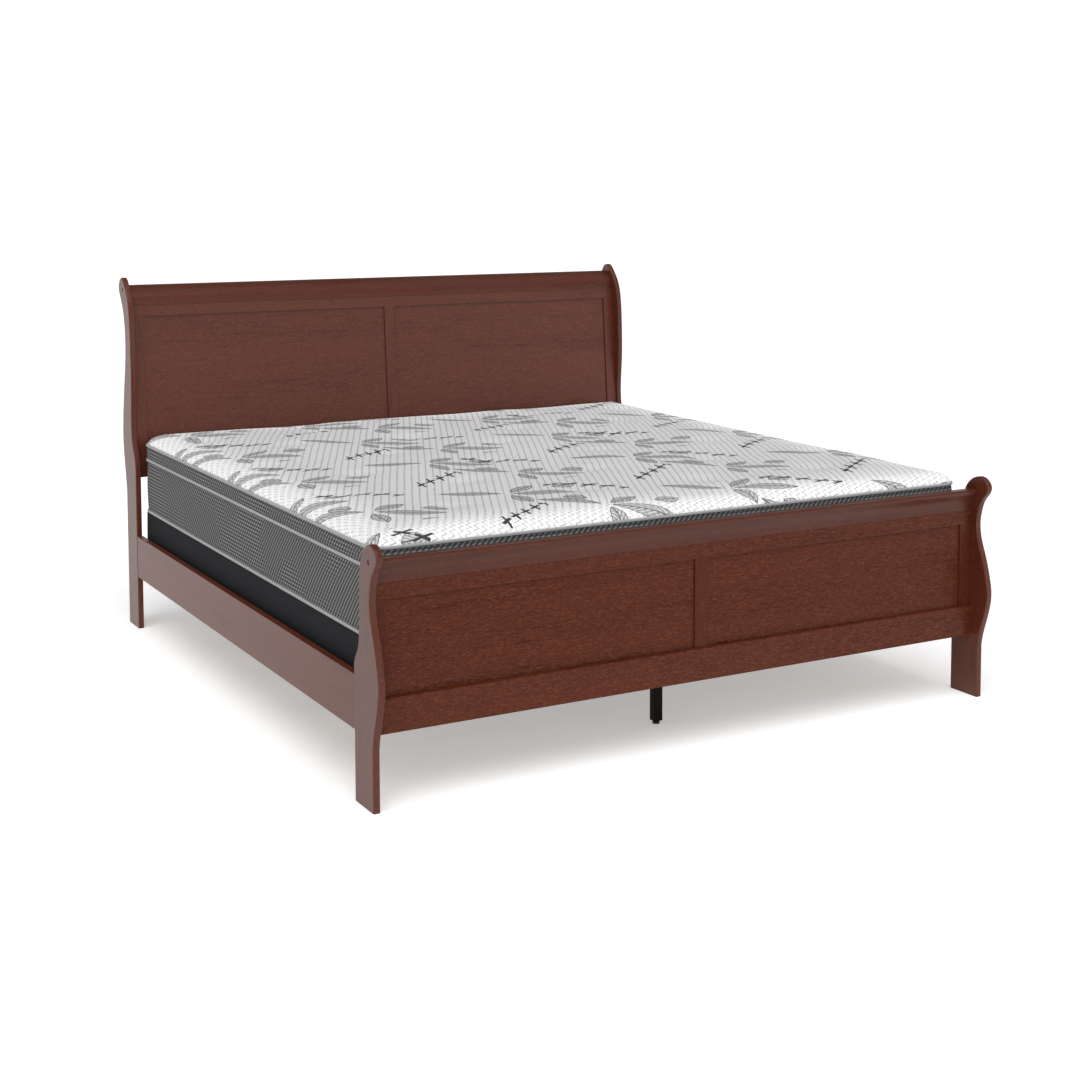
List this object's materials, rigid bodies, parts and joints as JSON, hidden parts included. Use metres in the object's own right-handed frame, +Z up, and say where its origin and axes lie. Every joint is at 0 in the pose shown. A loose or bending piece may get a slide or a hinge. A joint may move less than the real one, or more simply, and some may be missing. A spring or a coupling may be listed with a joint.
{
  "type": "sleigh bed",
  "caption": "King sleigh bed in a reddish cherry finish with scrolled end posts and framed panels, with its foundation and pillow-top mattress.",
  "frame": {"origin": "on the floor under the middle of the bed's overall box", "axes": "+X to the right seen from the foot end, +Y towards the headboard, +Z up"},
  "size_m": [2.007, 2.2963, 1.23],
  "materials": {
    "cherry_wood": "satin",
    "pine": "raw",
    "fibreboard": "raw",
    "zinc_steel": "satin",
    "black_steel": "satin",
    "black_plastic": "matte",
    "foot_steel": "satin",
    "foundation_cover": "woven",
    "mattress_top": "knit",
    "mattress_border": "woven",
    "binding_tape": "woven",
    "foam": "foam",
    "spring_steel": "satin"
  },
  "bodies": {
    "bed_frame": {"footboard_post_left": "cherry_wood", "footboard_post_right": "cherry_wood", "footboard_crest_rail": "cherry_wood", "footboard_top_rail": "cherry_wood", "footboard_bottom_rail": "cherry_wood", "footboard_middle_stile": "cherry_wood", "footboard_end_stile_left": "cherry_wood", "footboard_end_stile_right": "cherry_wood", "footboard_panel_left": "cherry_wood", "footboard_panel_right": "cherry_wood", "headboard_post_left": "cherry_wood", "headboard_post_right": "cherry_wood", "headboard_crest_rail": "cherry_wood", "headboard_top_rail": "cherry_wood", "headboard_bottom_rail": "cherry_wood", "headboard_middle_stile": "cherry_wood", "headboard_end_stile_left": "cherry_wood", "headboard_end_stile_right": "cherry_wood", "headboard_panel_left": "cherry_wood", "headboard_panel_right": "cherry_wood", "scroll_eye_plugs": "cherry_wood", "side_rail_left": "cherry_wood", "side_rail_right": "cherry_wood", "frame_dowels": "pine", "slat_ledger_left": "pine", "slat_ledger_right": "pine", "slats": "pine", "rail_hook_plates": "zinc_steel", "post_slot_plates": "zinc_steel", "plate_screws": "zinc_steel", "ledger_screws": "zinc_steel", "slat_screws": "zinc_steel", "leg_screws": "zinc_steel", "center_legs": "black_steel", "leg_inserts": "black_plastic"},
    "foundation": {"foundation_frame": "pine", "foundation_slats": "pine", "foundation_board": "fibreboard", "foundation_cover": "foundation_cover", "foundation_dust_cover": "foundation_cover"},
    "mattress": {"mattress_border": "mattress_border", "mattress_bottom_panel": "mattress_border", "mattress_pillow_top": "mattress_top", "mattress_tape_low": "binding_tape", "mattress_tape_middle": "binding_tape", "mattress_tape_top": "binding_tape", "mattress_edge_support": "foam", "mattress_border_wires": "spring_steel"},
    "foot_1": {"leveling_foot_1": "foot_steel"},
    "foot_2": {"leveling_foot_2": "foot_steel"},
    "foot_3": {"leveling_foot_3": "foot_steel"},
    "foot_4": {"leveling_foot_4": "foot_steel"},
    "foot_5": {"leveling_foot_5": "foot_steel"}
  },
  "joints": [
    {"name": "foundation_lift", "type": "slide", "parent": "bed_frame", "child": "foundation", "axis": [0, 0, 1], "range_m": [0, 0.5]},
    {"name": "mattress_lift", "type": "slide", "parent": "foundation", "child": "mattress", "axis": [0, 0, 1], "range_m": [0, 0.3]},
    {"name": "foot_1_height", "type": "slide", "parent": "bed_frame", "child": "foot_1", "axis": [0, 0, 1], "range_m": [0, 0.0045]},
    {"name": "foot_2_height", "type": "slide", "parent": "bed_frame", "child": "foot_2", "axis": [0, 0, 1], "range_m": [0, 0.0045]},
    {"name": "foot_3_height", "type": "slide", "parent": "bed_frame", "child": "foot_3", "axis": [0, 0, 1], "range_m": [0, 0.0045]},
    {"name": "foot_4_height", "type": "slide", "parent": "bed_frame", "child": "foot_4", "axis": [0, 0, 1], "range_m": [0, 0.0045]},
    {"name": "foot_5_height", "type": "slide", "parent": "bed_frame", "child": "foot_5", "axis": [0, 0, 1], "range_m": [0, 0.0045]}
  ]
}
